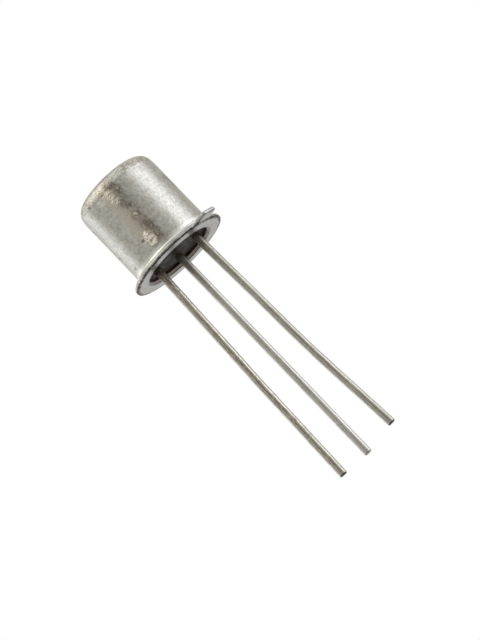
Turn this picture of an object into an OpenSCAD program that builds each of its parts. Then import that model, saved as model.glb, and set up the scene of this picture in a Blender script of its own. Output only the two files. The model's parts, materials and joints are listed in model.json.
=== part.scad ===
// Small npn transistor in a drawn metal can, with an index tab and three leads.
//
// Millimetres. +Z runs up the can and z = 0 is the seating plane, the flat underside
// of the header's flange. The leads hang down from it on one circle: emitter at +X,
// base at +Y, collector at -X. The index tab points between +X and -Y, next to the emitter.
//
// The header is a stamped eyelet: a flange with the tab, and a shallow cup that rises
// into the can. Glass fills the cup from below and holds the leads. The die sits on the
// cup's top, which is the collector, and two bond wires join it to the other two posts.

/* [Can] */
// Outside diameter of the can
can_d = 4.6; // [4.52:0.01:4.95]
// Height of the closed end above the seating plane
can_h = 5.12; // [4.32:0.01:5.33]
// Thickness of the drawn sheet, in the wall, the closed end and the flange
can_wall = 0.12; // [0.12:0.01:0.15]
// Outside radius of the corner at the closed end
can_corner_r = 0.58; // [0.3:0.01:0.9]
// Diameter of the can's flange, which is welded to the header
can_flange_d = 5.26; // [5.2:0.01:5.3]
// Radius of the hollow bend between the wall and the flange
can_root_r = 0.12; // [0.05:0.01:0.15]

/* [Header] */
// Diameter of the header's flange
header_d = 5.62; // [5.4:0.01:5.84]
// Thickness of the flange and the tab
header_t = 0.22; // [0.2:0.01:0.3]
// Radius rolled onto the flange's and the tab's edges by stamping
header_edge_r = 0.09; // [0.05:0.005:0.095]
// Height of the cup's top above the seating plane
cup_h = 1.15; // [0.9:0.05:1.5]
// Wall of the drawn cup
cup_wall = 0.19; // [0.15:0.01:0.24]
// Thickness of the cup's top
cup_top_t = 0.25; // [0.2:0.01:0.3]
// Gap between the outside of the cup and the bore of the can
cup_clearance = 0.05; // [0.03:0.01:0.1]
// Radius of the bend at the cup's mouth
cup_mouth_r = 0.12; // [0.08:0.01:0.16]
// Outside radius of the corner at the cup's top
cup_corner_r = 0.18; // [0.1:0.01:0.25]
// Diameter of the holes in the cup's top that the emitter and base leads pass through
feedthrough_d = 1.0; // [0.9:0.01:1.05]

/* [Index tab] */
// Width of the tab
tab_w = 1.05; // [0.91:0.01:1.17]
// How far the tab stands out from the rim of the flange
tab_l = 0.73; // [0.5:0.01:1.2]
// Angle from the emitter lead to the tab, clockwise seen from above
tab_angle = 42; // [40:1:50]
// Radius of the tab's corners, seen from above
tab_corner_r = 0.24; // [0.12:0.01:0.4]

/* [Glass seal] */
// Height of the glass surface above the seating plane, which is the depth of the recess
glass_recess = 0.22; // [0.2:0.01:0.4]
// Radius of the fillet where the glass wets the cup and the leads
glass_fillet_r = 0.07; // [0.03:0.01:0.08]

/* [Leads] */
// Diameter of the leads
lead_d = 0.44; // [0.41:0.01:0.48]
// Diameter of the circle that the leads stand on
lead_circle_d = 2.54; // [2.4:0.01:2.6]
// Length of the emitter lead below the seating plane, along its bends
emitter_lead_l = 13.4; // [12.7:0.05:14.7]
// Length of the base lead below the seating plane
base_lead_l = 13.4; // [12.7:0.05:14.7]
// Length of the collector lead below the seating plane
collector_lead_l = 13.6; // [12.7:0.05:14.7]
// Outward lean of the emitter lead where it leaves the header, in degrees
emitter_lean_angle = 1.6; // [0.5:0.1:3]
// Outward lean of the base lead where it leaves the header, in degrees
base_lean_angle = 1.2; // [0.5:0.1:3]
// Outward lean of the collector lead where it leaves the header, in degrees
collector_lean_angle = 1.7; // [0.5:0.1:3]
// Length over which a lead turns to its lean, just under the glass
lean_run = 0.14; // [0.1:0.01:0.3]
// Further outward bend in the lower half of the emitter lead, in degrees
emitter_set_angle = 2.2; // [0.5:0.1:4]
// Inward bend in the lower half of the collector lead, in degrees
collector_set_angle = 0.7; // [0.2:0.1:2]
// Straight length between the header and the bend in the lower half
set_start = 6; // [4:0.5:7]
// Length over which that bend is spread
set_run = 4; // [2:0.5:4.5]
// Bevel on the cut ends of the leads
lead_tip_bevel = 0.03; // [0.01:0.01:0.06]
// How far the emitter and base posts stand above the cup's top
post_h = 0.35; // [0.2:0.05:0.6]

/* [Die and bond wires] */
// Side of the square die
die_side = 0.6; // [0.4:0.05:0.7]
// Thickness of the die
die_t = 0.18; // [0.1:0.01:0.25]
// Thickness of the gold alloy under the die
die_attach_t = 0.03; // [0.02:0.01:0.05]
// How far the gold alloy shows round the die
die_attach_margin = 0.05; // [0.02:0.01:0.08]
// Diameter of the bond wires
wire_d = 0.04; // [0.03:0.005:0.05]
// Rise of a bond wire's arch above its chord
wire_rise = 0.32; // [0.2:0.02:0.5]
// Diameter of the flattened bond at each end of a wire
bond_d = 0.1; // [0.08:0.01:0.12]
// Thickness of the flattened bond
bond_t = 0.03; // [0.02:0.005:0.04]
// Distance of each bond on the die from the die's centre
pad_offset = 0.15; // [0.1:0.01:0.15]

/* [Hidden] */
$fn = 64;
wire_fn = 20;

// A bend is drawn this much thinner in radius than the straight lead, and runs this far
// into the straight lengths at its ends
bend_neck = 0.002;
bend_lap = 0.02;

// How far a hole is drawn past the faces that it goes through
hole_overrun = 0.5;

can_r = can_d / 2;
can_bore_r = can_r - can_wall;
header_r = header_d / 2;
cup_r = can_bore_r - cup_clearance;
cup_bore_r = cup_r - cup_wall;
cup_ceiling_z = cup_h - cup_top_t;
lead_circle_r = lead_circle_d / 2;
lead_r = lead_d / 2;
post_top_z = cup_h + post_h;
die_z = cup_h + die_attach_t;
die_top_z = die_z + die_t;
tab_root_r = (header_r + cup_r) / 2;
glass_fillet = min(glass_fillet_r, glass_recess - cup_mouth_r);
lean_start_z = (glass_recess - glass_fillet) / 2;

emitter_at = [lead_circle_r, 0];
base_at = [0, lead_circle_r];
collector_at = [-lead_circle_r, 0];
emitter_pad = [pad_offset, 0];
base_pad = [-pad_offset / 3, pad_offset];

NICKEL = [0.68, 0.67, 0.64];
PLATED = [0.62, 0.61, 0.59];
LEAD_METAL = [0.52, 0.49, 0.45];
DARK_GLASS = [0.1, 0.08, 0.07];
GOLD = [0.83, 0.66, 0.3];
SILICON = [0.3, 0.32, 0.36];
ALUMINIUM = [0.8, 0.8, 0.8];

// A quarter of a flat ring about the origin, in the quadrant that the two signs give.
module quarter_ring(outer, inner, sx, sy) {
    intersection() {
        difference() {
            circle(r = outer);
            circle(r = inner);
        }
        translate([sx > 0 ? 0 : -outer, sy > 0 ? 0 : -outer]) square(outer);
    }
}

// The space between a corner and the arc of radius r that touches both its sides.
module corner_fillet(r) {
    difference() {
        square(r);
        translate([r, r]) circle(r = r);
    }
}

// Half section of the can: closed end, corner, wall, bend and round-edged flange.
module can_section() {
    flange_z = header_t;
    root_x = can_r + can_root_r;
    root_z = flange_z + can_wall + can_root_r;
    corner_x = can_r - can_corner_r;
    corner_z = can_h - can_corner_r;
    translate([0, can_h - can_wall]) square([corner_x, can_wall]);
    translate([corner_x, corner_z]) quarter_ring(can_corner_r, can_corner_r - can_wall, 1, 1);
    translate([can_bore_r, root_z]) square([can_wall, corner_z - root_z]);
    translate([root_x, root_z]) quarter_ring(can_root_r + can_wall, can_root_r, -1, -1);
    rim_x = can_flange_d / 2 - can_wall / 2;
    translate([root_x, flange_z]) square([rim_x - root_x, can_wall]);
    translate([rim_x, flange_z + can_wall / 2]) circle(d = can_wall);
}

module can() {
    color(NICKEL) rotate_extrude() can_section();
}

// Half section of the eyelet: flange with rolled edges, bend at the mouth, cup and top.
module eyelet_section() {
    rim_x = header_r - header_edge_r;
    mouth_x = cup_bore_r + cup_mouth_r;
    corner_x = cup_r - cup_corner_r;
    translate([mouth_x, 0]) square([rim_x - mouth_x, header_t]);
    translate([cup_bore_r, cup_mouth_r]) square([cup_mouth_r, header_t - cup_mouth_r]);
    translate([mouth_x, cup_mouth_r]) quarter_ring(cup_mouth_r, 0, -1, -1);
    translate([mouth_x, header_edge_r]) square([header_r - mouth_x, header_t - 2 * header_edge_r]);
    for (z = [header_edge_r, header_t - header_edge_r])
        translate([rim_x, z]) circle(r = header_edge_r);
    translate([cup_bore_r, header_t - header_edge_r])
        square([cup_wall, cup_h - cup_corner_r - header_t + header_edge_r]);
    translate([corner_x, cup_h - cup_corner_r]) quarter_ring(cup_corner_r, 0, 1, 1);
    translate([0, cup_ceiling_z]) square([corner_x, cup_top_t]);
    translate([0, cup_ceiling_z]) square([cup_r, cup_top_t - cup_corner_r]);
}

// A length of round bar along +Y from the origin, for the tab's rolled edges.
module edge_bar(length) {
    rotate([-90, 0, 0]) cylinder(r = header_edge_r, h = length);
}

// The tab as a flat plate that points along +X, with all its outer edges rolled.
module tab_plate() {
    half_w = tab_w / 2;
    end_x = header_r + tab_l;
    corner_x = end_x - tab_corner_r;
    corner_y = half_w - tab_corner_r;
    inner_r = tab_corner_r - header_edge_r;
    for (plate = [[0, header_t, header_edge_r], [header_edge_r, header_t - 2 * header_edge_r, 0]]) {
        inset = plate[2];
        translate([0, 0, plate[0]]) linear_extrude(plate[1]) {
            translate([tab_root_r, inset - half_w])
                square([corner_x - tab_root_r, tab_w - 2 * inset]);
            translate([tab_root_r, -corner_y])
                square([end_x - inset - tab_root_r, 2 * corner_y]);
            for (side = [-1, 1])
                translate([corner_x, side * corner_y]) circle(r = tab_corner_r - inset);
        }
    }
    for (z = [header_edge_r, header_t - header_edge_r]) translate([0, 0, z]) {
        translate([end_x - header_edge_r, -corner_y, 0]) edge_bar(2 * corner_y);
        for (side = [-1, 1]) {
            translate([tab_root_r, side * (half_w - header_edge_r), 0])
                rotate([0, 0, -90]) edge_bar(corner_x - tab_root_r);
            translate([corner_x, side * corner_y, 0])
                rotate_extrude() translate([inner_r, 0]) circle(r = header_edge_r);
        }
    }
}

module header() {
    color(PLATED) difference() {
        union() {
            rotate_extrude() eyelet_section();
            rotate([0, 0, -tab_angle]) tab_plate();
        }
        for (at = [emitter_at, base_at])
            translate([at.x, at.y, cup_ceiling_z - hole_overrun])
                cylinder(d = feedthrough_d, h = cup_top_t + 2 * hole_overrun);
    }
}

// Glass fused into the cup and up through the two holes in its top. Its surface is
// drawn up into a fillet against the cup's wall and round each lead.
module glass_seal() {
    color(DARK_GLASS) difference() {
        union() {
            rotate_extrude() {
                translate([0, glass_recess]) square([cup_bore_r, cup_ceiling_z - glass_recess]);
                translate([cup_bore_r, glass_recess]) rotate(180) corner_fillet(glass_fillet);
            }
            for (at = [emitter_at, base_at])
                translate([at.x, at.y, glass_recess]) cylinder(d = feedthrough_d, h = cup_h - glass_recess);
            for (at = [emitter_at, base_at, collector_at])
                translate([at.x, at.y, glass_recess])
                    rotate_extrude() translate([lead_r, 0]) mirror([0, 1]) corner_fillet(glass_fillet);
        }
        for (at = [emitter_at, base_at])
            translate([at.x, at.y, 0]) cylinder(d = lead_d, h = cup_h + hole_overrun);
        translate([collector_at.x, collector_at.y, 0]) cylinder(d = lead_d, h = cup_ceiling_z);
    }
}

// A straight length heading down -Z from the origin. Its children start where it ends.
module straight(length) {
    translate([0, 0, -length]) {
        cylinder(d = lead_d, h = length);
        children();
    }
}

// The same length, bent evenly towards +X, or towards -X if the angle is negative.
module bend(length, angle) {
    if (angle == 0) {
        straight(length) children();
    } else {
        turn = abs(angle);
        radius = length / (turn * PI / 180);
        overrun = turn * bend_lap / length;
        rotate([0, 0, angle < 0 ? 180 : 0])
            translate([radius, 0, 0]) rotate([90, 180, 0]) rotate([0, 0, -overrun])
                rotate_extrude(angle = turn + 2 * overrun)
                    translate([radius, 0]) circle(r = lead_r - bend_neck);
        translate([sign(angle) * radius * (1 - cos(angle)), 0, -radius * sin(turn)])
            rotate([0, -angle, 0]) children();
    }
}

// The bevelled cut end.
module lead_tip() {
    translate([0, 0, -lead_tip_bevel])
        cylinder(d1 = lead_d - 2 * lead_tip_bevel, d2 = lead_d, h = lead_tip_bevel);
}

// A lead from its inner end at top_z down to its cut tip. Outward is +X: it leaves the
// header leaning by lean degrees, and takes a slow bend of set degrees lower down.
module lead(top_z, length, lean, set) {
    tip_run = length + lean_start_z - lean_run - set_start - set_run - lead_tip_bevel;
    translate([0, 0, top_z])
        straight(top_z - lean_start_z) bend(lean_run, lean)
            straight(set_start) bend(set_run, set) straight(tip_run) lead_tip();
}

module emitter_lead() {
    color(LEAD_METAL) translate([emitter_at.x, emitter_at.y, 0])
        lead(post_top_z, emitter_lead_l, emitter_lean_angle, emitter_set_angle);
}

module base_lead() {
    color(LEAD_METAL) translate([base_at.x, base_at.y, 0]) rotate([0, 0, 90])
        lead(post_top_z, base_lead_l, base_lean_angle, 0);
}

// The collector lead is welded to the underside of the cup's top, inside the glass.
module collector_lead() {
    color(LEAD_METAL) translate([collector_at.x, collector_at.y, 0]) rotate([0, 0, 180])
        lead(cup_ceiling_z, collector_lead_l, collector_lean_angle, -collector_set_angle);
}

module die() {
    color(SILICON) translate([-die_side / 2, -die_side / 2, die_z])
        cube([die_side, die_side, die_t]);
}

module die_attach() {
    side = die_side + 2 * die_attach_margin;
    color(GOLD) translate([-side / 2, -side / 2, cup_h]) cube([side, side, die_attach_t]);
}

// A wire arched between two points, in the upright plane that holds both, with a
// flattened bond under each end.
module bond_wire(pad, post) {
    run = norm(post - pad);
    pad_z = die_top_z + bond_t / 2;
    post_z = post_top_z + bond_t / 2;
    chord = sqrt(run * run + (post_z - pad_z) * (post_z - pad_z));
    arch_r = (chord * chord / 4 + wire_rise * wire_rise) / (2 * wire_rise);
    half_angle = asin(chord / (2 * arch_r)) + (wire_rise > arch_r ? 90 : 0);
    slope = atan2(post_z - pad_z, run);
    heading = atan2(post.y - pad.y, post.x - pad.x);
    translate([pad.x, pad.y, die_top_z]) cylinder(d = bond_d, h = bond_t, $fn = wire_fn);
    translate([post.x, post.y, post_top_z]) cylinder(d = bond_d, h = bond_t, $fn = wire_fn);
    translate([pad.x, pad.y, pad_z]) rotate([0, 0, heading]) rotate([90, -slope, 0])
        translate([chord / 2, wire_rise - arch_r, 0]) rotate([0, 0, 90 - half_angle])
            rotate_extrude(angle = 2 * half_angle)
                translate([arch_r, 0]) circle(d = wire_d, $fn = wire_fn);
}

module emitter_wire() {
    color(ALUMINIUM) bond_wire(emitter_pad, emitter_at);
}

module base_wire() {
    color(ALUMINIUM) bond_wire(base_pad, base_at);
}

can();
header();
glass_seal();
emitter_lead();
base_lead();
collector_lead();
die();
die_attach();
emitter_wire();
base_wire();
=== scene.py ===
"""Looks of a small npn transistor: a satin nickel can on a stamped header, with dark
glass and three drawn wire leads, in a pale studio. Lengths are millimetres until they
reach Blender, which takes metres. +Z runs up the can, as in the CAD frame."""

import json
import math

import bmesh
import bpy
from mathutils import Matrix, Vector, noise


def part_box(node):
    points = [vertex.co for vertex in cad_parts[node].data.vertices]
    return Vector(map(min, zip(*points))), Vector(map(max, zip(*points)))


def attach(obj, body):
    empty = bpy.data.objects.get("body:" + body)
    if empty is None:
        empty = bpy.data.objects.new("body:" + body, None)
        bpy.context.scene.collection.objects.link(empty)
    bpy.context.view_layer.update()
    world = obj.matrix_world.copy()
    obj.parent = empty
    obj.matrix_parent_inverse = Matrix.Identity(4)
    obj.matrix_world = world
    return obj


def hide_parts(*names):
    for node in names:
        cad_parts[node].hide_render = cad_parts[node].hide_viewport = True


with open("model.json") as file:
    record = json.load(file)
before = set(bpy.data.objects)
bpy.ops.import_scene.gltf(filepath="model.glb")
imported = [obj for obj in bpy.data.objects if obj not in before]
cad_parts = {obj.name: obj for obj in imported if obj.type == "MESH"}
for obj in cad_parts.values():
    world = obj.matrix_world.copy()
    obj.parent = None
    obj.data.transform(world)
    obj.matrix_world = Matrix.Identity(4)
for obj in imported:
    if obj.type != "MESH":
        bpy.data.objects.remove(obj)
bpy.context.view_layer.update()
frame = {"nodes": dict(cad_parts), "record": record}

MM = 0.001
MOUNTS = {mount["name"]: mount for mount in frame["record"]["mounts"]}


def top_of(node):
    """Height of a CAD node's highest point, in millimetres."""
    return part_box(node)[1].z / MM


def radius_of(node):
    """How far a round CAD node reaches along -X, the side without the tab, in millimetres."""
    return -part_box(node)[0].x / MM


# ---- Sizes, in millimetres ----

# The can
CAN_R = MOUNTS["can_wall"]["dims"]["r_mm"]
CAN_H = top_of("can")
CAN_FLANGE_R = radius_of("can")
CAN_WALL = 0.12
CAN_CORNER_R = 0.58
CAN_ROOT_R = 0.12

# The header
HEADER_R = radius_of("header")
HEADER_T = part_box("can")[0].z / MM
HEADER_EDGE_R = 0.09
# Stamping draws the underside's edge up in a wide, shallow roll: how far in and how far up
EDGE_ROLL_IN = 0.2
EDGE_ROLL_UP = 0.055
CUP_H = top_of("header")
CUP_R = CAN_R - CAN_WALL - 0.05
CUP_BORE_R = CUP_R - 0.19
CUP_TOP_T = 0.25
CUP_MOUTH_R = 0.12
CUP_CORNER_R = 0.18
TAB_W = 1.05
TAB_L = 0.73
TAB_ANGLE = -42
TAB_CORNER_R = 0.24
TAB_ROOT_R = 0.05

# The glass and the leads
GLASS_Z = 0.22
GLASS_FILLET_R = 0.07
FEEDTHROUGH_R = 0.5
LEAD_R = MOUNTS["base_lead"]["dims"]["r_mm"]
LEAD_CIRCLE_R = 1.27
LEAN_START_Z = (GLASS_Z - GLASS_FILLET_R) / 2
LEAN_RUN = 0.14
SET_START = 6
SET_RUN = 4
LEADS = {
    "emitter_lead": {"heading": 0, "length": 13.4, "lean": 1.6, "set": 2.2},
    "base_lead": {"heading": 90, "length": 13.4, "lean": 1.2, "set": 0},
    "collector_lead": {"heading": 180, "length": 13.6, "lean": 1.7, "set": -0.7},
}


# ---- Mesh helpers ----

# Two points nearer than this are one, and a radius below it is a single point
SAME_POINT = 1e-6


def arc(centre, radius, start, end, steps):
    """Points of an arc in a flat section, from start to end degrees."""
    points = []
    for step in range(steps + 1):
        angle = math.radians(start + (end - start) * step / steps)
        points.append((centre[0] + radius * math.cos(angle), centre[1] + radius * math.sin(angle)))
    return points


def line(start, end, steps):
    """Points of a straight stretch, with both ends."""
    return [tuple(a + (b - a) * step / steps for a, b in zip(start, end)) for step in range(steps + 1)]


def joined(*stretches):
    """One run of points from several, without the doubled ones where they meet."""
    run = []
    for stretch in stretches:
        for point in stretch:
            if not run or math.dist(point, run[-1]) > SAME_POINT:
                run.append(point)
    return run


def skin(name, rings):
    """A mesh of quads between closed rings of points, in millimetres. A first or last ring
    of a single point closes that end."""
    mesh = bmesh.new()
    made = [[mesh.verts.new(Vector(point) * MM) for point in ring] for ring in rings]
    for low, high in zip(made, made[1:]):
        count = max(len(low), len(high))
        for i in range(count):
            j = (i + 1) % count
            corners = [low[i % len(low)], low[j % len(low)], high[j % len(high)], high[i % len(high)]]
            corners = list(dict.fromkeys(corners))
            mesh.faces.new(corners)
    bmesh.ops.recalc_face_normals(mesh, faces=mesh.faces)
    data = bpy.data.meshes.new(name)
    mesh.to_mesh(data)
    mesh.free()
    data.shade_smooth()
    piece = bpy.data.objects.new(name, data)
    bpy.context.scene.collection.objects.link(piece)
    return piece


def turned(profile, columns, bend=None):
    """Rings of a profile of (radius, height) turned about Z. bend moves each point."""
    rings = []
    for radius, height in profile:
        count = columns if radius > SAME_POINT else 1
        ring = []
        for column in range(count):
            angle = 2 * math.pi * column / count
            point = Vector((radius * math.cos(angle), radius * math.sin(angle), height))
            ring.append(bend(point) if bend else point)
        rings.append(ring)
    return rings


CUTTER_COLUMNS = 64


def cut_holes(piece, holes):
    """Cuts round holes out of a piece. Each hole is (x, y, radius, low, high)."""
    for x, y, radius, low, high in holes:
        profile = [(0, low), (radius, low), (radius, high), (0, high)]
        rings = [[point + Vector((x, y, 0)) for point in ring] for ring in turned(profile, CUTTER_COLUMNS)]
        cutter = skin("cutter", rings)
        change = piece.modifiers.new("hole", "BOOLEAN")
        change.operation, change.solver, change.object = "DIFFERENCE", "EXACT", cutter
        graph = bpy.context.evaluated_depsgraph_get()
        cut = bpy.data.meshes.new_from_object(piece.evaluated_get(graph))
        piece.modifiers.clear()
        piece.data = cut
        bpy.data.objects.remove(cutter)


# ---- Camera ----

# The lens looks up at the header from a little below it, rolled so that the can leans left.
CAMERA_DISTANCE = 250
CAMERA_ELEVATION = math.radians(-12.0)
CAMERA_ROLL = math.radians(43.87)
PIXELS_PER_MM = 20.25
IMAGE_WIDTH, IMAGE_HEIGHT = 480, 640
ORIGIN_PIXEL = (179.6, 256.3)
SENSOR_MM = 36
CLIP_METRES = (0.01, 20)


def make_camera():
    """The camera, placed so that the frame's origin falls on ORIGIN_PIXEL with no shift."""
    look = Vector((0, math.cos(CAMERA_ELEVATION), -math.sin(CAMERA_ELEVATION)))
    level_right = Vector((1, 0, 0))
    level_up = level_right.cross(look)
    right = level_right * math.cos(CAMERA_ROLL) - level_up * math.sin(CAMERA_ROLL)
    up = level_right * math.sin(CAMERA_ROLL) + level_up * math.cos(CAMERA_ROLL)
    focal_pixels = PIXELS_PER_MM * CAMERA_DISTANCE
    off_right = (ORIGIN_PIXEL[0] - IMAGE_WIDTH / 2) / focal_pixels
    off_up = (IMAGE_HEIGHT / 2 - ORIGIN_PIXEL[1]) / focal_pixels
    place = -CAMERA_DISTANCE * MM * (off_right * right + off_up * up + look)
    data = bpy.data.cameras.new("camera")
    data.sensor_width = SENSOR_MM
    data.lens = focal_pixels / IMAGE_HEIGHT * SENSOR_MM
    data.clip_start, data.clip_end = CLIP_METRES
    camera = bpy.data.objects.new("camera", data)
    turn = Matrix((right, up, -look)).transposed().to_4x4()
    camera.matrix_world = Matrix.Translation(place) @ turn
    bpy.context.scene.collection.objects.link(camera)
    bpy.context.scene.camera = camera


# ---- Pieces ----

CAN_COLUMNS = 360
# Inward lean of the wall's last stretch below the closed end
CAN_LEAN, CAN_LEAN_START, CAN_LEAN_LENGTH = 0.03, 4.0, 0.6
# Depth of the can's slow unevenness, how long its waves are round the wall, and their
# squeeze along Z, which makes them longer up the wall
CAN_WAVE, CAN_WAVE_LENGTH, CAN_WAVE_SQUEEZE = 0.006, 1.6, 0.6
# A point this near to the can's radius is on its wall
ON_WALL = 0.01
# The foot of the wall is even up to this height above the header, and over this rise
CAN_EVEN_FOOT, CAN_EVEN_RISE = 0.2, 0.6
# Dents in the can: x, y, z, radius, depth
DENTS = (
    (-1.0, -2.05, 4.65, 0.8, 0.028),
    (-0.79, -2.16, 1.3, 0.11, 0.03),
    (0.0, -2.3, 3.05, 0.15, 0.02),
    (2.2, -0.66, 3.0, 0.4, 0.012),
    (1.5, -1.75, 4.65, 0.35, 0.012),
    (-2.0, -1.13, 0.85, 0.25, 0.01),
    (0.6, 2.2, 2.2, 0.5, 0.02),
    (-1.7, 1.5, 3.6, 0.3, 0.012),
)
# Rough patches on the side towards -Y, where glints are painted: x, z, half width, half height, amount
ROUGH_SPOTS = ((-0.4, 1.03, 0.28, 0.55, 1.0), (-0.38, 3.9, 0.28, 0.6, 0.45), (-0.12, 2.55, 0.09, 0.1, 0.6))
# Their depth, how many lumps they have in a millimetre, and how steeply they start
ROUGH_RELIEF, ROUGH_LUMPS, ROUGH_EDGE = 0.025, 6.5, 1.6
# How far the rims of both flanges are worn back, and over what length it changes
RIM_WEAR, RIM_WEAR_LENGTH = 0.014, 0.35
# The wear reaches this far in from each rim, and on the header it comes on over this length
CAN_RIM_BAND, HEADER_RIM_BAND, HEADER_RIM_RISE = 0.1, 0.15, 0.1


def can_unevenness(point):
    """The can's real surface at a point: slow waves, the lean below the closed end, dents,
    rough patches and the worn rim."""
    out = Vector((point.x, point.y, 0))
    if out.length < SAME_POINT:
        return point
    place = Vector((point.x, point.y, point.z * CAN_WAVE_SQUEEZE)) / CAN_WAVE_LENGTH
    above_foot = min(1, max(0, (point.z - HEADER_T - CAN_EVEN_FOOT) / CAN_EVEN_RISE))
    inward = CAN_WAVE * (0.5 + 0.5 * noise.noise(place)) * above_foot
    inward += CAN_LEAN * min(1, max(0, (point.z - CAN_LEAN_START) / CAN_LEAN_LENGTH)) ** 3
    for x, y, z, radius, depth in DENTS:
        inward += depth * max(0, 1 - ((point - Vector((x, y, z))).length / radius) ** 2) ** 2
    if point.y < 0 and abs(out.length - CAN_R) < ON_WALL:
        for x, z, width, tall, amount in ROUGH_SPOTS:
            share = max(0, 1 - ((point.x - x) / width) ** 2 - ((point.z - z) / tall) ** 2)
            if share:
                place = Vector((point.x * 0.6, point.y * 0.6, point.z))
                lump = 0.5 + 0.5 * noise.noise(place * ROUGH_LUMPS)
                inward += ROUGH_RELIEF * amount * min(1, share * ROUGH_EDGE) * lump
    if out.length > CAN_FLANGE_R - CAN_RIM_BAND:
        inward += rim_wear(point)
    return point - out.normalized() * min(inward, out.length)


def rim_wear(point):
    """How far a rim is worn back at a point."""
    return RIM_WEAR * (0.5 + 0.5 * noise.noise(point / RIM_WEAR_LENGTH + Vector((3, 1, 0))))


def make_can():
    """The drawn can: closed end, rolled corner, wall, and a flange bent out at its foot."""
    inner_r = CAN_R - CAN_WALL
    root = (CAN_R + CAN_ROOT_R, HEADER_T + CAN_WALL + CAN_ROOT_R)
    corner = (CAN_R - CAN_CORNER_R, CAN_H - CAN_CORNER_R)
    rim = (CAN_FLANGE_R - CAN_WALL / 2, HEADER_T + CAN_WALL / 2)
    profile = joined(
        line((0, CAN_H), (corner[0], CAN_H), 14),
        arc(corner, CAN_CORNER_R, 90, 0, 20),
        line((CAN_R, corner[1]), (CAN_R, root[1]), 130),
        arc(root, CAN_ROOT_R, 180, 270, 10),
        line((root[0], HEADER_T + CAN_WALL), (rim[0], HEADER_T + CAN_WALL), 3),
        arc(rim, CAN_WALL / 2, 90, -90, 10),
        line((rim[0], HEADER_T), (root[0], HEADER_T), 3),
        arc(root, CAN_ROOT_R + CAN_WALL, 270, 180, 10),
        line((inner_r, root[1]), (inner_r, corner[1]), 16),
        arc(corner, CAN_CORNER_R - CAN_WALL, 0, 90, 10),
        line((corner[0], CAN_H - CAN_WALL), (0, CAN_H - CAN_WALL), 4),
    )
    piece = skin("can_shell", turned(profile, CAN_COLUMNS, can_unevenness))
    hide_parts("can")
    return piece


def tab_outline():
    """The flange's outline with its tab along +X, as (point, outward normal) pairs that run
    anticlockwise once round, closed."""
    half = TAB_W / 2
    end_x = HEADER_R + TAB_L
    root_y = half + TAB_ROOT_R
    root_x = math.sqrt((HEADER_R + TAB_ROOT_R) ** 2 - root_y ** 2)
    root_angle = math.degrees(math.atan2(root_y, root_x))
    corner = (end_x - TAB_CORNER_R, half - TAB_CORNER_R)
    upper = []
    for point in line((end_x, 0), (end_x, corner[1]), 4)[:-1]:
        upper.append((point, (1, 0)))
    for step in range(13):
        angle = math.radians(90 * step / 12)
        normal = (math.cos(angle), math.sin(angle))
        upper.append(((corner[0] + TAB_CORNER_R * normal[0], corner[1] + TAB_CORNER_R * normal[1]), normal))
    for point in line((corner[0], half), (root_x, half), 8)[1:-1]:
        upper.append((point, (0, 1)))
    for step in range(9):
        angle = math.radians(-90 + (root_angle - 90) * step / 8)
        out = (math.cos(angle), math.sin(angle))
        point = (root_x + TAB_ROOT_R * out[0], root_y + TAB_ROOT_R * out[1])
        upper.append((point, (-out[0], -out[1])))
    steps = 112
    for step in range(1, steps + 1):
        angle = math.radians(root_angle + (180 - root_angle) * step / steps)
        normal = (math.cos(angle), math.sin(angle))
        upper.append(((HEADER_R * normal[0], HEADER_R * normal[1]), normal))
    lower = [((p[0], -p[1]), (n[0], -n[1])) for p, n in reversed(upper[1:-1])]
    return upper + lower


def lead_places():
    """Where each lead crosses the header: its name to (x, y)."""
    places = {}
    for name, lead in LEADS.items():
        heading = math.radians(lead["heading"])
        places[name] = Vector((math.cos(heading), math.sin(heading))) * LEAD_CIRCLE_R
    return places


# Depth and wave length of the slow unevenness that stamping leaves in the flange, and how
# far from the cup's mouth it takes to reach its full depth
FLANGE_WAVE, FLANGE_WAVE_LENGTH, FLANGE_WAVE_RUN = 0.008, 1.1, 0.15
# How far a cut through the cup's top runs past it
HOLE_OVERRUN = 0.2


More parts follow.
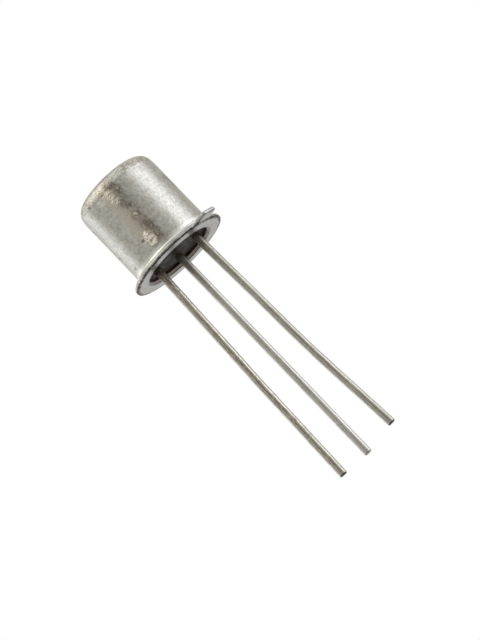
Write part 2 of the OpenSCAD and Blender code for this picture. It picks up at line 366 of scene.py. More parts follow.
def make_header():
    """The stamped eyelet: one sheet that is the flange, its index tab and the cup."""
    outline = tab_outline()
    turn = Matrix.Rotation(math.radians(TAB_ANGLE), 3, "Z")
    edge = HEADER_EDGE_R
    angles = [math.atan2(p[1], p[0]) for p, _ in outline]

    def round_ring(radius, height):
        return [Vector((radius * math.cos(a), radius * math.sin(a), height)) for a in angles]

    def edge_ring(inset, height):
        return [Vector((p[0] - inset * n[0], p[1] - inset * n[1], height)) for p, n in outline]

    def between(inner, outer, steps):
        return [[a.lerp(b, step / steps) for a, b in zip(inner, outer)] for step in range(1, steps)]

    mouth_x = CUP_BORE_R + CUP_MOUTH_R
    corner = (CUP_R - CUP_CORNER_R, CUP_H - CUP_CORNER_R)
    ceiling = CUP_H - CUP_TOP_T
    cup_inside = joined(
        line((CUP_BORE_R / 4, ceiling), (CUP_BORE_R, ceiling), 3),
        line((CUP_BORE_R, ceiling), (CUP_BORE_R, CUP_MOUTH_R), 12),
        arc((mouth_x, CUP_MOUTH_R), CUP_MOUTH_R, 180, 270, 12),
    )
    cup_outside = joined(
        line((CUP_R, HEADER_T), (CUP_R, corner[1]), 8),
        arc(corner, CUP_CORNER_R, 0, 90, 8),
        line((corner[0], CUP_H), (corner[0] / 6, CUP_H), 5),
    )
    rings = [[Vector((0, 0, ceiling))]]
    rings += [round_ring(*point) for point in cup_inside]
    roll = [(EDGE_ROLL_IN * (1 + x), EDGE_ROLL_UP * (1 + y)) for x, y in arc((0, 0), 1, 270, 180, 12)]
    rings += between(rings[-1], edge_ring(EDGE_ROLL_IN, 0), 16)
    for inset, height in joined(roll, arc((edge, HEADER_T - edge), edge, 180, 90, 8)):
        rings.append(edge_ring(inset, height))
    rings += between(rings[-1], round_ring(CUP_R, HEADER_T), 6)
    rings += [round_ring(*point) for point in cup_outside]
    rings.append([Vector((0, 0, CUP_H))])

    def placed(point):
        point = turn @ point
        radius = math.hypot(point.x, point.y)
        if radius > mouth_x and point.z < HEADER_T / 2:
            share = min(1, (radius - mouth_x) / FLANGE_WAVE_RUN)
            wave = noise.noise(point / FLANGE_WAVE_LENGTH + Vector((7, 3, 0)))
            point.z += FLANGE_WAVE * (0.5 + 0.5 * wave) * share
        if radius > HEADER_R - HEADER_RIM_BAND:
            worn = rim_wear(point) * min(1, (radius - HEADER_R + HEADER_RIM_BAND) / HEADER_RIM_RISE)
            point -= Vector((point.x, point.y, 0)) / radius * worn
        return point

    piece = skin("eyelet", [[placed(point) for point in ring] for ring in rings])
    low, high = ceiling - HOLE_OVERRUN, CUP_H + HOLE_OVERRUN
    feedthroughs = [lead_places()[name] for name in ("emitter_lead", "base_lead")]
    cut_holes(piece, [(at.x, at.y, FEEDTHROUGH_R, low, high) for at in feedthroughs])
    piece.data.shade_smooth()
    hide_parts("header")
    return piece


# The glass between the leads rises and sags by this much, over waves of this length
GLASS_SAG, GLASS_WAVE_LENGTH = 0.03, 0.8
GLASS_COLUMNS, GLASS_RINGS, GLASS_FILLET_RINGS = 240, 90, 8


def glass_height(x, y):
    """Height of the glass surface, drawn down towards the cup's wall and each lead."""
    height = GLASS_Z + GLASS_SAG * noise.noise(Vector((x, y, 2.5)) / GLASS_WAVE_LENGTH)
    gaps = [CUP_BORE_R - math.hypot(x, y)]
    gaps += [math.dist((x, y), at) - LEAD_R for at in lead_places().values()]
    for gap in gaps:
        if gap < GLASS_FILLET_R:
            across = GLASS_FILLET_R - max(gap, 0)
            height -= GLASS_FILLET_R - math.sqrt(GLASS_FILLET_R ** 2 - across ** 2)
    return max(height, GLASS_Z - GLASS_FILLET_R)


def make_glass():
    """The glass that fills the cup."""
    ceiling = CUP_H - CUP_TOP_T
    radii = [CUP_BORE_R * math.sqrt(step / GLASS_RINGS) for step in range(GLASS_RINGS + 1)]
    radii += [CUP_BORE_R - GLASS_FILLET_R * step / GLASS_FILLET_RINGS for step in range(GLASS_FILLET_RINGS)]
    rings = []
    for radius in sorted(set(radii)):
        ring = turned([(radius, 0)], GLASS_COLUMNS)[0]
        rings.append([Vector((p.x, p.y, glass_height(p.x, p.y))) for p in ring])
    rings += turned([(CUP_BORE_R, ceiling), (0, ceiling)], GLASS_COLUMNS)
    piece = skin("seal_glass", rings)
    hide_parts("glass_seal")
    return piece


LEAD_COLUMNS = 48
# Length of wire between two rings of its mesh
LEAD_STEP = 0.05
# How far the wire wanders sideways, over what length, and how far below the seating plane
# the wander reaches its full size
LEAD_WANDER, LEAD_WANDER_LENGTH, LEAD_WANDER_RUN = 0.012, 3.0, 2
# How far the wire's skin is worn back in places, and how many patches there are in a millimetre
LEAD_WEAR, LEAD_WEAR_PATCHES = 0.008, 1.7
LEAD_TIP_BEVEL = 0.03
# An inner ring on the flat of the cut end, as a share of its radius
LEAD_TIP_RING = 0.85


def lead_line(lead, top):
    """Centre line of a lead in its own upright plane, as (outward, height, lean) points."""
    tip_run = lead["length"] + LEAN_START_Z - LEAN_RUN - SET_START - SET_RUN
    stretches = [
        (top - LEAN_START_Z, 0),
        (LEAN_RUN, lead["lean"]),
        (SET_START, 0),
        (SET_RUN, lead["set"]),
        (tip_run, 0),
    ]
    out, height, lean = 0.0, top, 0.0
    points = [(out, height, lean)]
    for length, bend in stretches:
        steps = max(4, math.ceil(length / LEAD_STEP))
        for _ in range(steps):
            middle = lean + math.radians(bend) / steps / 2
            out += math.sin(middle) * length / steps
            height -= math.cos(middle) * length / steps
            lean += math.radians(bend) / steps
            points.append((out, height, lean))
    return points


def make_lead(name, lead, top):
    """A drawn wire lead, from its inner end down to its cut tip."""
    heading = Matrix.Rotation(math.radians(lead["heading"]), 3, "Z")
    seed = lead["heading"]
    rings = []
    line_points = lead_line(lead, top)
    for index, (out, height, lean) in enumerate(line_points):
        wander = LEAD_WANDER * min(1, max(0, -height / LEAD_WANDER_RUN))
        along = height / LEAD_WANDER_LENGTH
        centre = Vector((LEAD_CIRCLE_R + out, 0, height))
        centre.x += wander * noise.noise(Vector((along, seed, 0)))
        centre.y += wander * noise.noise(Vector((along, seed, 9)))
        side = Vector((math.cos(lean), 0, math.sin(lean)))
        ring = []
        for column in range(LEAD_COLUMNS):
            angle = 2 * math.pi * column / LEAD_COLUMNS
            out_way = side * math.cos(angle) + Vector((0, 1, 0)) * math.sin(angle)
            place = (centre + out_way * 0.3) * LEAD_WEAR_PATCHES + Vector((0, seed, 0))
            worn = LEAD_WEAR * (0.5 + 0.5 * noise.noise(place))
            reach = LEAD_R - worn * min(1, max(0, -height))
            if index == len(line_points) - 1:
                reach -= LEAD_TIP_BEVEL
            ring.append(heading @ (centre + out_way * reach))
        rings.append(ring)
    first, last = (sum(ring, Vector()) / LEAD_COLUMNS for ring in (rings[0], rings[-1]))
    rings.append([last.lerp(point, LEAD_TIP_RING) for point in rings[-1]])
    piece = skin(name + "_wire", [[first], *rings, [last]])
    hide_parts(name)
    return piece


make_camera()
can = make_can()
header = make_header()
glass = make_glass()
tops = {name: top_of(name) for name in LEADS}
leads = [make_lead(name, lead, tops[name]) for name, lead in LEADS.items()]
for piece in (can, header, glass, *leads):
    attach(piece, "root")


# ---- Node helpers ----


class Nodes:
    """A node tree, with short ways to add the nodes that it needs."""

    def __init__(self, tree):
        self.tree = tree
        tree.nodes.clear()

    def add(self, kind, props=None, **inputs):
        """A node of a kind. Inputs go by name, or by number as _0, _1 and so on."""
        node = self.tree.nodes.new("ShaderNode" + kind)
        for name, value in (props or {}).items():
            setattr(node, name, value)
        for name, value in inputs.items():
            socket = node.inputs[int(name[1:]) if name[0] == "_" else name.replace("_", " ")]
            self.feed(socket, value)
        return node

    def feed(self, socket, value):
        """Links a socket's source to it, or sets its value."""
        if isinstance(value, bpy.types.NodeSocket):
            self.tree.links.new(value, socket)
        elif socket.type == "RGBA":
            socket.default_value = (*value, 1)
        else:
            socket.default_value = value

    def calc(self, operation, *values):
        """Result of a Math node."""
        node = self.add("Math", {"operation": operation})
        for socket, value in zip(node.inputs, values):
            self.feed(socket, value)
        return node.outputs[0]

    def product(self, *values):
        """All the values multiplied together."""
        result = values[0]
        for value in values[1:]:
            result = self.calc("MULTIPLY", result, value)
        return result

    def total(self, *values):
        """All the values added up."""
        result = values[0]
        for value in values[1:]:
            result = self.calc("ADD", result, value)
        return result

    def highest(self, *values):
        """The highest of the values."""
        result = values[0]
        for value in values[1:]:
            result = self.calc("MAXIMUM", result, value)
        return result

    def vector(self, operation, *values, scale=None):
        """Result of a Vector Math node."""
        node = self.add("VectorMath", {"operation": operation})
        for socket, value in zip(node.inputs, values):
            self.feed(socket, value)
        if scale is not None:
            self.feed(node.inputs["Scale"], scale)
        return node.outputs["Value" if operation in ("DOT_PRODUCT", "LENGTH", "DISTANCE") else 0]

    def ramp(self, value, low, high, to_low=0.0, to_high=1.0):
        """The value's smooth rise from to_low at low to to_high at high."""
        node = self.add("MapRange", {"interpolation_type": "SMOOTHSTEP"}, Value=value,
                        From_Min=low, From_Max=high, To_Min=to_low, To_Max=to_high)
        return node.outputs[0]

    def bell(self, value, centre, half):
        """1 where the value is at the centre, down to 0 at half either side of it."""
        return self.ramp(self.calc("ABSOLUTE", self.calc("SUBTRACT", value, centre)), half, half * 0.35)

    def blend(self, share, first, second):
        """A colour between two colours."""
        node = self.add("Mix", {"data_type": "RGBA"}, _0=share, _6=first, _7=second)
        return node.outputs[2]


class Shader(Nodes):
    """A material and its nodes. Its places are in millimetres of the part's own frame."""

    def __init__(self, name):
        self.material = bpy.data.materials.new(name)
        self.material.use_nodes = True
        super().__init__(self.material.node_tree)
        self.place = self.vector("SCALE", self.add("TexCoord").outputs["Object"], scale=1 / MM)
        split = self.add("SeparateXYZ", Vector=self.place).outputs
        self.x, self.y, self.z = split[0], split[1], split[2]

    def stretched(self, *factors):
        """The place, with each axis scaled by a factor."""
        return self.vector("MULTIPLY", self.place, factors)

    def noise(self, scale, detail=2, roughness=0.5, place=None, seed=0):
        """Noise from 0 to 1, with about scale waves in a millimetre."""
        place = place or self.place
        if seed:
            place = self.vector("ADD", place, (seed * 3.7, seed * 5.1, seed * 2.3))
        node = self.add("TexNoise", Vector=place, Scale=scale, Detail=detail, Roughness=roughness)
        return node.outputs["Fac"]

    def specks(self, scale, size, share, place=None):
        """Round specks on a grid of cells: 1 inside a speck. Only a share of the cells has one."""
        node = self.add("TexVoronoi", {"feature": "F1"}, Vector=place or self.place, Scale=scale)
        inside = self.ramp(node.outputs["Distance"], size, size * 0.6)
        chance = self.add("SeparateColor", Color=node.outputs["Color"]).outputs[0]
        return self.product(inside, self.calc("LESS_THAN", chance, share))

    def finish(self, height, **inputs):
        """The surface itself. height is its relief in millimetres."""
        bump = self.add("Bump", Height=height, Distance=MM, Strength=1.0).outputs[0]
        surface = self.add("BsdfPrincipled", Normal=bump, **inputs)
        self.add("OutputMaterial", Surface=surface.outputs[0])
        return self.material


# ---- Studio ----

# Even brightness of the whole studio, and the least that any part of it has
AMBIENT = 0.42
LEAST_LIGHT = 0.05
# Each glow is (azimuth, elevation, angle at which it has halved, brightness) of a soft region
# of the studio as the object sees it, in degrees. Azimuth 0 is the camera's side (-Y) and 90
# is +X. A negative brightness makes a region darker.
GLOWS = {
    "key": (80, 4, 19, 1.6),
    "back_left": (-117, 8, 17, 0.75),
    "far_left": (-155, 8, 18, 0.12),
    "behind": (180, -12, 24, 0.3),
    "sky": (180, 80, 50, 0.35),
    "sky_right": (38, 50, 16, 0.25),
    "camera_gap": (2, 12, 12, -0.26),
    "left_gap": (-70, 10, 11, -0.1),
    "right_gap": (84, 24, 9, -0.6),
}
# One more glow, of a warm colour
WINDOW = (-54, 54, 17, 1.55)
WINDOW_TINT = (1.0, 0.94, 0.82)
# The studio is darker below: the middle of that region, the angles from it at which the shade
# begins and is full, and the share of the light that it leaves
SHADE = (0, -80)
SHADE_EDGES = (70, 50)
SHADE_LEFT = 0.38
# Dim regions are warmer and bright ones cooler, between these brightnesses
TINT_RANGE = (0.45, 1.3)
DIM_TINT, BRIGHT_TINT = (1.0, 0.97, 0.89), (0.975, 0.99, 1.0)
# Brightness of the plain backdrop that the camera sees
BACKDROP = 1.0
# The floor's height and its width, in millimetres, and its own faint light
FLOOR_Z = -300
FLOOR_SIZE = 2000
FLOOR_GLOW = 0.35


def direction(azimuth, elevation):
    """Unit vector towards a place in the studio."""
    a, e = math.radians(azimuth), math.radians(elevation)
    return (math.sin(a) * math.cos(e), -math.cos(a) * math.cos(e), math.sin(e))


def make_studio():
    """A pale room: even light, soft glows, a dark part below, and a near-white backdrop."""
    world = bpy.data.worlds.new("studio")
    bpy.context.scene.world = world
    world.use_nodes = True
    sky = Nodes(world.node_tree)
    towards = sky.add("TexCoord").outputs["Generated"]

    def glow(azimuth, elevation, width):
        """A glow's share at each direction: 1 in its middle and a half at its width."""
        dot = sky.vector("DOT_PRODUCT", towards, direction(azimuth, elevation))
        sharpness = math.log(2) / (1 - math.cos(math.radians(width)))
        return sky.calc("EXPONENT", sky.product(sky.calc("SUBTRACT", dot, 1.0), sharpness))

    light = AMBIENT
    for *place, brightness in GLOWS.values():
        light = sky.calc("MULTIPLY_ADD", glow(*place), brightness, light)
    under = sky.vector("DOT_PRODUCT", towards, direction(*SHADE))
    edges = [math.cos(math.radians(angle)) for angle in SHADE_EDGES]
    light = sky.product(sky.highest(light, LEAST_LIGHT), sky.ramp(under, *edges, 1.0, SHADE_LEFT))
    tint = sky.blend(sky.ramp(light, *TINT_RANGE), DIM_TINT, BRIGHT_TINT)
    even = sky.add("Background", Color=tint, Strength=light)
    warm = sky.add("Background", Color=WINDOW_TINT, Strength=sky.product(glow(*WINDOW[:3]), WINDOW[3]))
    lit = sky.add("AddShader", _0=even.outputs[0], _1=warm.outputs[0])
    plain = sky.add("Background", Color=(1.0, 1.0, 1.0), Strength=BACKDROP)
    seen = sky.add("LightPath").outputs["Is Camera Ray"]
    both = sky.add("MixShader", _0=seen, _1=lit.outputs[0], _2=plain.outputs[0])
    sky.add("OutputWorld", Surface=both.outputs[0])


def make_floor():
    """A plain pale floor, far below. The part neither mirrors it nor takes light from it."""
    half = FLOOR_SIZE / 2 * MM
    data = bpy.data.meshes.new("floor")
    corners = [(-half, -half, 0), (half, -half, 0), (half, half, 0), (-half, half, 0)]
    data.from_pydata(corners, [], [(0, 1, 2, 3)])
    floor = bpy.data.objects.new("floor", data)
    floor.location.z = FLOOR_Z * MM
    floor.visible_glossy = False
    floor.visible_diffuse = False
    bpy.context.scene.collection.objects.link(floor)
    look = Shader("floor_pale")
    tone = look.blend(look.noise(0.02, 3), (0.77, 0.79, 0.83), (0.80, 0.82, 0.86))
    height = look.product(look.noise(0.8, 3), 0.05)
    pale = look.finish(height, Base_Color=tone, Roughness=0.9, Emission_Color=tone,
                       Emission_Strength=FLOOR_GLOW)
    data.materials.append(pale)


# ---- Materials ----


# Dark marks on the can: x, y, z, radius, amount
DARK_MARKS = (
    (-0.79, -2.16, 1.3, 0.12, 0.9), (0.0, -2.3, 3.05, 0.15, 0.85), (-1.55, -1.7, 4.5, 0.13, 0.8),
    (-2.0, -1.13, 0.85, 0.12, 0.6), (1.4, -1.83, 4.8, 0.16, 0.6), (-2.25, -0.45, 1.95, 0.14, 0.5),
    (2.23, -0.56, 3.15, 0.38, 0.5), (2.25, -0.48, 2.75, 0.3, 0.5),
)


# The streak's middle in X, the depth in Y at which the near side starts and is full, and the
# heights at which the streak starts and is full
STREAK_X = -0.05
NEAR_SIDE = (-1.2, -1.8)
STREAK_FOOT = (0.62, 0.85)
# The flange's root has a painted highlight, near-white below the second height and none above the first
FOOT_HIGHLIGHT = (0.7, 0.5)
# Heights at which the corner's painted highlight and the painted shade over brownish dirt below it start
# and are full, from below and from above, and the X at which that shade does
CORNER_HIGHLIGHT_FOOT, CORNER_HIGHLIGHT_TOP = (4.35, 4.65), (5.09, 4.9)
DIRT_SHADE_FOOT, DIRT_SHADE_TOP = (4.39, 4.55), (4.95, 4.79)
DIRT_SHADE_SIDE = (0.5, 1.0)
# The nickel's own tones, then its wear and dirt, and the painted highlights, glints and shade
NICKEL_LOW, NICKEL_HIGH = (0.58, 0.572, 0.535), (0.68, 0.668, 0.645)
NICKEL_ROSY, NICKEL_GREEN = (0.63, 0.59, 0.565), (0.60, 0.615, 0.57)
GRAIN_HIGH, GRAIN_LOW = (0.82, 0.81, 0.785), (0.38, 0.36, 0.33)
FOOT_HIGHLIGHT_TONE, PAINTED_GLINT_TONE = (0.97, 0.965, 0.93), (1.0, 0.965, 0.87)
HAZE_TONE, DIRT_AND_SHADE_TONE, STAIN_TONE = (0.65, 0.60, 0.50), (0.30, 0.28, 0.245), (0.27, 0.235, 0.20)
FLECK_TONE, DARK_TONE, GLINT_GAP_SHADE_TONE = (0.85, 0.78, 0.66), (0.10, 0.08, 0.06), (0.22, 0.165, 0.11)
DUST_TONE, PIT_TONE = (0.30, 0.27, 0.24), (0.14, 0.125, 0.11)


def can_material():
    """Satin nickel: fine grain, draw lines, a brown streak with bright specks, and pits, with painted
    glints, painted highlights on the flange's root and the corner, and painted shade below the corner.
    """
    look = Shader("nickel_satin")
    grain = look.noise(6, 4, 0.68)
    fine = look.noise(19, 2, 0.6, seed=1)
    cloud = look.noise(1.6, 4, 0.6, seed=2)
    draw = look.noise(1.0, 3, 0.7, place=look.stretched(7, 7, 0.5))
    # The brown streak runs up the side next to -Y, with ragged edges
    ragged = look.noise(3.0, 6, 0.72, place=look.stretched(1, 1, 0.6), seed=3)
    meander = look.noise(1.1, 4, 0.65, place=look.stretched(0.3, 0.3, 1), seed=4)
    across = look.total(look.x, look.product(look.calc("SUBTRACT", meander, 0.5), 0.8), -STREAK_X)
    near_side = look.product(look.ramp(look.y, *NEAR_SIDE), look.ramp(look.z, *STREAK_FOOT))
    streak = look.product(look.bell(across, 0.0, 0.42), near_side, look.ramp(ragged, 0.36, 0.56, 0.15, 1.0))
    blots = look.noise(0.9, 4, 0.6, place=look.stretched(1, 1, 0.5), seed=5)
    blotch = look.product(look.ramp(blots, 0.58, 0.75), 0.6)
    stain = look.highest(streak, blotch)
    mottle = look.noise(9, 3, 0.75, place=look.stretched(1, 1, 0.7), seed=8)
    ends = look.highest(look.bell(look.z, 1.3, 0.9), look.bell(look.z, 4.2, 0.5))
    dark = look.product(look.bell(across, 0.08, 0.32), near_side, look.ramp(mottle, 0.44, 0.58),
                        look.ramp(ends, 0, 1, 0.35, 1))
    haze = look.product(look.bell(across, -0.3, 0.6), near_side, look.ramp(cloud, 0.3, 0.55, 0.25, 0.65))
    # Rough patches beside the streak, with painted glints and painted shade between them, and the corner's
    # painted highlight
    spots = []
    for x, z, width, tall, amount in ROUGH_SPOTS:
        away_x = look.calc("DIVIDE", look.calc("SUBTRACT", look.x, x), width)
        away_z = look.calc("DIVIDE", look.calc("SUBTRACT", look.z, z), tall)
        away = look.total(look.product(away_x, away_x), look.product(away_z, away_z))
        spots.append(look.product(look.ramp(away, 1.3, 0.1), amount))
    # Painted highlight along the corner below the closed end
    corner_highlight = look.product(look.ramp(look.z, *CORNER_HIGHLIGHT_FOOT), look.ramp(look.z, *CORNER_HIGHLIGHT_TOP), 0.5)
    rough_and_highlight = look.highest(look.product(look.highest(*spots), near_side), corner_highlight)
    glints = look.noise(8.5, 3, 0.7, place=look.stretched(0.55, 0.55, 1.1), seed=6)
    painted_glints = look.product(rough_and_highlight, look.ramp(glints, 0.43, 0.55))
    edges = look.noise(5, 3, 0.7, seed=9)
    pits = look.product(look.specks(1.3, 0.12, 0.18), 0.8)
    for *place, radius, amount in DARK_MARKS:
        reach = look.calc("MULTIPLY_ADD", edges, radius * -2.6, look.vector("DISTANCE", look.place, place))
        pits = look.highest(pits, look.ramp(reach, radius * -0.2, radius * -1.1, 0.0, amount))
    dust = look.specks(4.2, 0.2, 0.16)
    # Fine scratches that slant across the wall
    slant = look.add("Mapping", Vector=look.place, Rotation=(0.5, 0.25, 0.3), Scale=(26, 26, 0.8))
    scratch = look.ramp(look.noise(1, 2, 0.5, place=slant.outputs[0]), 0.7, 0.78)
    # Its colour, from the clean metal up to the dirt that lies on top, with painted highlights, glints and
    # shade among the layers
    tone = look.blend(look.ramp(cloud, 0.3, 0.7), NICKEL_LOW, NICKEL_HIGH)
    tint = look.noise(1.1, 3, 0.6, seed=7)
    tone = look.blend(look.ramp(tint, 0.5, 0.68, 0.0, 0.45), tone, NICKEL_ROSY)
    tone = look.blend(look.ramp(tint, 0.5, 0.34, 0.0, 0.45), tone, NICKEL_GREEN)
    tone = look.blend(look.product(look.ramp(grain, 0.47, 0.66), 0.5), tone, GRAIN_HIGH)
    tone = look.blend(look.product(look.ramp(grain, 0.5, 0.33), 0.5), tone, GRAIN_LOW)
    # Painted highlight: the flange's root and flare made near-white in place of the light that they mirror
    tone = look.blend(look.product(look.ramp(look.z, *FOOT_HIGHLIGHT), 0.85), tone, FOOT_HIGHLIGHT_TONE)
    tone = look.blend(haze, tone, HAZE_TONE)
    # Painted shade below the corner on the +X side, where the key light falls off, over brownish dirt
    dirt_and_shade = look.product(look.ramp(look.z, *DIRT_SHADE_FOOT), look.ramp(look.z, *DIRT_SHADE_TOP),
                         look.ramp(look.x, *DIRT_SHADE_SIDE), look.ramp(mottle, 0.38, 0.58, 0.35, 0.9))
    tone = look.blend(look.product(dirt_and_shade, 0.7), tone, DIRT_AND_SHADE_TONE)
    tone = look.blend(look.product(stain, look.ramp(mottle, 0.35, 0.6, 0.45, 0.9)), tone, STAIN_TONE)
    tone = look.blend(look.product(streak, look.ramp(mottle, 0.58, 0.68), 0.6), tone, FLECK_TONE)
    tone = look.blend(look.product(dark, 0.6), tone, DARK_TONE)
    # Painted shade between the glints, then the painted glints themselves
    tone = look.blend(look.product(rough_and_highlight, look.ramp(glints, 0.46, 0.38), 0.6), tone, GLINT_GAP_SHADE_TONE)
    tone = look.blend(painted_glints, tone, PAINTED_GLINT_TONE)
    tone = look.blend(look.product(dust, 0.45), tone, DUST_TONE)
    tone = look.blend(look.product(pits, 0.8), tone, PIT_TONE)
    # Its roughness, and its relief in millimetres
    shine = look.total(look.ramp(cloud, 0.3, 0.7, 0.17, 0.28), look.product(stain, 0.12),
                       look.product(draw, 0.08), look.product(scratch, 0.1), look.product(painted_glints, -0.08))
    height = look.total(look.product(grain, 0.007), look.product(fine, 0.001), look.product(draw, 0.002),
                        look.product(cloud, 0.008), look.product(scratch, -0.0015),
                        look.product(pits, -0.02), look.product(dust, -0.003),
                        look.product(rough_and_highlight, glints, 0.12), look.product(streak, mottle, 0.016))
    metal = look.total(1.0, look.product(painted_glints, -0.35))
    return look.finish(height, Base_Color=tone, Metallic=metal, Roughness=shine)


# The dull roll of the flange's lower edge, where shade is painted dark: the heights at which it starts and
# is full, how far inside the rim it starts and is full, and how far outside it, on the tab, it is gone and
# full
ROLL_HEIGHTS, ROLL_INSET, ROLL_BEYOND = (0.11, 0.05), (0.22, 0.12), (0.16, 0.04)
# The plate's own tones, then its wear and dirt, the painted shade of its rolled edges and the cup's mouth,
# and the painted light inside the cup
PLATE_LOW, PLATE_HIGH = (0.515, 0.51, 0.52), (0.67, 0.665, 0.675)
PLATE_GRAIN_HIGH, PLATE_GRAIN_LOW = (0.76, 0.76, 0.78), (0.38, 0.37, 0.37)
SMUDGE_TONE, ROLL_SHADE_TONE, SPECK_TONE = (0.36, 0.345, 0.335), (0.10, 0.085, 0.07), (0.25, 0.22, 0.2)
# Pinkish like its oxide, but made near-white as painted light on the cup's shaded inside wall
CUP_INSIDE_LIT_TONE = (0.92, 0.80, 0.75)


def header_material():
    """Matt nickel on stamped sheet, dull and painted dark as shade at its rolled edges and round the cup's
    mouth, and painted light on the cup's inside wall.
    """
    look = Shader("nickel_matt")
    radius = look.vector("LENGTH", look.stretched(1, 1, 0))
    grain = look.noise(10, 3, 0.6)
    cloud = look.noise(1.8, 4, 0.6, seed=1)
    jitter = look.ramp(look.noise(4, 4, 0.75, seed=3), 0.3, 0.7, -0.05, 0.05)
    out = look.total(radius, jitter)
    inset = [HEADER_R - inset for inset in ROLL_INSET]
    beyond = [HEADER_R + reach for reach in ROLL_BEYOND]
    rolled = look.product(look.ramp(look.total(look.z, jitter), *ROLL_HEIGHTS), look.ramp(out, *inset),
                          look.ramp(radius, *beyond))
    mouth = look.bell(radius, CUP_BORE_R + 0.08, 0.09)
    inside = look.ramp(radius, CUP_BORE_R + 0.03, CUP_BORE_R + 0.01)
    ragged = look.ramp(look.noise(6, 4, 0.7, seed=2), 0.32, 0.56, 0.35, 1.0)
    # dull marks the rolled edges and the mouth: rougher there, and its dark colour is painted shade
    dull = look.product(look.highest(rolled, look.product(mouth, 0.5)), ragged)
    # Fine rings left by the tool, in a place that is wound round Z
    turn = look.product(look.calc("ARCTAN2", look.y, look.x), 1.5)
    wound = look.add("CombineXYZ", X=look.product(radius, 14), Y=turn, Z=look.product(look.z, 14))
    rings = look.noise(1, 3, 0.6, place=wound.outputs[0])
    specks = look.specks(3.2, 0.17, 0.18)
    smudge = look.product(look.ramp(look.noise(1.7, 5, 0.75, seed=4), 0.5, 0.68), 0.65)
    tone = look.blend(look.ramp(cloud, 0.35, 0.65), PLATE_LOW, PLATE_HIGH)
    tone = look.blend(smudge, tone, SMUDGE_TONE)
    tone = look.blend(look.product(look.ramp(grain, 0.4, 0.8), 0.35), tone, PLATE_GRAIN_HIGH)
    tone = look.blend(look.product(look.ramp(grain, 0.5, 0.35), 0.35), tone, PLATE_GRAIN_LOW)
    # Painted shade on the rolled edges and round the cup's mouth
    tone = look.blend(look.product(dull, 0.95), tone, ROLL_SHADE_TONE)
    tone = look.blend(look.product(specks, 0.6), tone, SPECK_TONE)
    # Painted light: the cup's inside wall made near-white
    tone = look.blend(inside, tone, CUP_INSIDE_LIT_TONE)
    shine = look.total(look.ramp(cloud, 0.3, 0.7, 0.28, 0.4), look.product(dull, 0.15),
                       look.product(inside, 0.3))
    metal = look.total(1.0, look.product(inside, -0.8))
    height = look.total(look.product(grain, 0.003), look.product(cloud, 0.006), look.product(rings, 0.0025),
                        look.product(specks, -0.006))
    return look.finish(height, Base_Color=tone, Metallic=metal, Roughness=shine)


# Middle of the glass's red cast, the distances at which it starts and is full, and its tone
RED_CENTRE, RED_REACH, RED_TONE = (0.05, -0.1, GLASS_Z), (1.1, 0.3), (0.045, 0.008, 0.005)
GLASS_LOW, GLASS_HIGH = (0.018, 0.010, 0.009), (0.060, 0.040, 0.038)
# The paler glass round each lead: the distances from the lead's middle at which it starts and
# is full, and its tone
COLLAR_REACH, COLLAR_TONE = (0.5, 0.26), (0.13, 0.105, 0.085)
# An index below real glass's keeps the pale studio's mirror image faint
GLASS_IOR = 1.13


def glass_material():
    """Dark sealing glass, faintly red in the middle, with a wavy fired surface."""
    look = Shader("glass_dark")
    cloud = look.noise(1.3, 4, 0.6)
    fine = look.noise(7, 3, 0.6, seed=1)
    away = look.vector("DISTANCE", look.place, RED_CENTRE)
    red = look.product(look.ramp(away, *RED_REACH), look.ramp(cloud, 0.35, 0.6))
    tone = look.blend(look.ramp(cloud, 0.35, 0.65), GLASS_LOW, GLASS_HIGH)
    tone = look.blend(red, tone, RED_TONE)
    for at in lead_places().values():
        gap = look.vector("DISTANCE", look.stretched(1, 1, 0), (at.x, at.y, 0))
        tone = look.blend(look.ramp(gap, *COLLAR_REACH, 0.0, 0.7), tone, COLLAR_TONE)
    bubbles = look.specks(3.5, 0.22, 0.2)
    shine = look.total(look.ramp(fine, 0.3, 0.7, 0.3, 0.5), look.product(bubbles, 0.2))
    height = look.total(look.product(cloud, 0.03), look.product(fine, 0.004), look.product(bubbles, -0.01))
    return look.finish(height, Base_Color=tone, Metallic=0.0, Roughness=shine, IOR=GLASS_IOR)


# Heights at which the brown cast near the glass starts and is full
CAST_HEIGHTS = (-3.2, 0.2)
# Tones of the wire's wear and dirt, and of its darker brown towards the glass
WIRE_BRIGHT, WIRE_BROWN, CAST_TONE = (0.88, 0.82, 0.71), (0.19, 0.15, 0.105), (0.22, 0.175, 0.14)
PITTED_LOW, PITTED_HIGH, WIRE_SPECK = (0.23, 0.19, 0.145), (0.88, 0.84, 0.76), (0.16, 0.14, 0.12)


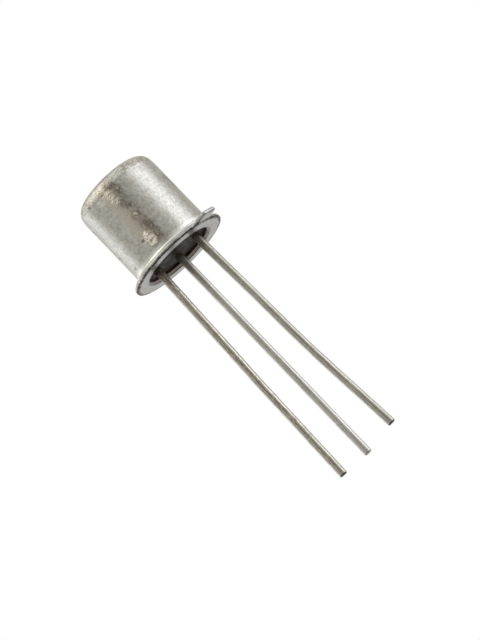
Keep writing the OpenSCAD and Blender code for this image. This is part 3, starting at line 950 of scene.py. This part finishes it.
def lead_material(name, seed, warmth, low, high, dull, tip, end):
    """Drawn wire: die lines along it, a dull brown cast near the glass, and a cut end at height tip in the
    colour end, which is painted light and shade. Warmth is how strong the brown is, from 0 to 1."""
    look = Shader(name)
    lines = look.noise(1, 4, 0.65, place=look.stretched(13, 13, 0.35), seed=seed)
    threads = look.noise(1, 2, 0.5, place=look.stretched(34, 34, 1.6), seed=seed + 1)
    cloud = look.noise(0.8, 4, 0.65, place=look.stretched(1, 1, 0.6), seed=seed + 2)
    grain = look.noise(11, 3, 0.65, seed=seed + 3)
    near_glass = look.product(look.ramp(look.z, *CAST_HEIGHTS), look.ramp(cloud, 0.25, 0.65, 0.5, 1.0))
    flecks = look.noise(9, 3, 0.7, place=look.stretched(1, 1, 0.45), seed=seed + 4)
    worn = look.product(look.ramp(lines, 0.5, 0.62), look.ramp(flecks, 0.4, 0.56))
    brown = look.product(look.ramp(lines, 0.52, 0.4), look.ramp(flecks, 0.6, 0.44),
                         look.ramp(cloud, 0.35, 0.6, 0.4, 1.0))
    cut = look.ramp(look.z, tip + 0.05, tip + 0.02)
    specks = look.specks(2.6, 0.14, 0.2)
    tone = look.blend(look.ramp(cloud, 0.3, 0.7), low, high)
    tone = look.blend(look.product(worn, 0.3 + 0.4 * warmth), tone, WIRE_BRIGHT)
    tone = look.blend(look.product(brown, 0.3 + 0.35 * warmth), tone, WIRE_BROWN)
    tone = look.blend(look.product(near_glass, look.ramp(flecks, 0.4, 0.6, 0.75, 0.35)), tone, CAST_TONE)
    pitted = look.noise(17, 2, 0.6, place=look.stretched(1, 1, 0.45), seed=seed + 5)
    pitting = 0.15 + 0.25 * warmth
    tone = look.blend(look.product(look.ramp(pitted, 0.48, 0.36), pitting), tone, PITTED_LOW)
    tone = look.blend(look.product(look.ramp(pitted, 0.54, 0.66), pitting), tone, PITTED_HIGH)
    tone = look.blend(look.product(specks, 0.6), tone, WIRE_SPECK)
    # Painted light and shade on the cut end
    tone = look.blend(cut, tone, end)
    shine = look.total(look.ramp(cloud, 0.3, 0.7, 0.1 + dull, 0.17 + dull), look.product(threads, 0.06),
                       look.product(near_glass, 0.1), look.product(cut, 0.3))
    height = look.total(look.product(lines, 0.003), look.product(threads, 0.0008),
                        look.product(grain, 0.0012), look.product(specks, -0.006))
    metal = look.total(1.0, look.product(cut, -0.6))
    return look.finish(height, Base_Color=tone, Metallic=metal, Roughness=shine)


def inner_material(name, low, high, metallic, shine, scale):
    """A clean surface inside the can, with faint clouds and grain."""
    look = Shader(name)
    cloud = look.noise(scale, 4, 0.6)
    grain = look.noise(scale * 8, 2, 0.6, seed=1)
    tone = look.blend(look.ramp(cloud, 0.3, 0.7), low, high)
    gloss = look.ramp(grain, 0.3, 0.7, shine, shine + 0.12)
    return look.finish(look.product(grain, 0.0015), Base_Color=tone, Metallic=metallic, Roughness=gloss)


def dress(piece, material):
    """Gives a piece its material."""
    piece.data.materials.clear()
    piece.data.materials.append(material)


make_studio()
make_floor()
# Each wire's seed, warmth, darker and lighter tone, dullness and the colour of its cut end: painted light
# on the base lead and painted shade on the other two
WIRE_LOOKS = {
    "emitter_lead": (1, 0.4, (0.53, 0.515, 0.47), (0.67, 0.655, 0.615), 0.03, (0.12, 0.11, 0.10)),
    "base_lead": (11, 0.0, (0.60, 0.595, 0.57), (0.75, 0.75, 0.73), 0.13, (0.85, 0.84, 0.82)),
    "collector_lead": (21, 1.0, (0.51, 0.485, 0.43), (0.68, 0.655, 0.60), 0.04, (0.10, 0.09, 0.08)),
}
looks = {"can": can_material(), "header": header_material(), "glass_seal": glass_material()}
for node, (seed, warmth, low, high, dull, end) in WIRE_LOOKS.items():
    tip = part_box(node)[0].z / MM
    looks[node] = lead_material(node + "_metal", seed, warmth, low, high, dull, tip, end)
replacing = dict(zip(looks, (can, header, glass, *leads)))
looks["die"] = inner_material("silicon_polished", (0.10, 0.11, 0.14), (0.16, 0.15, 0.20), 0.6, 0.08, 3)
looks["die_attach"] = inner_material("gold_fused", (0.78, 0.58, 0.24), (0.90, 0.71, 0.34), 1.0, 0.25, 6)
aluminium = inner_material("aluminium_drawn", (0.74, 0.74, 0.75), (0.84, 0.84, 0.85), 1.0, 0.2, 20)
looks["emitter_wire"] = looks["base_wire"] = aluminium
for node, look in looks.items():
    dress(frame["nodes"][node], look)
for node, piece in replacing.items():
    dress(piece, looks[node])
bpy.context.scene.view_settings.view_transform = "Standard"
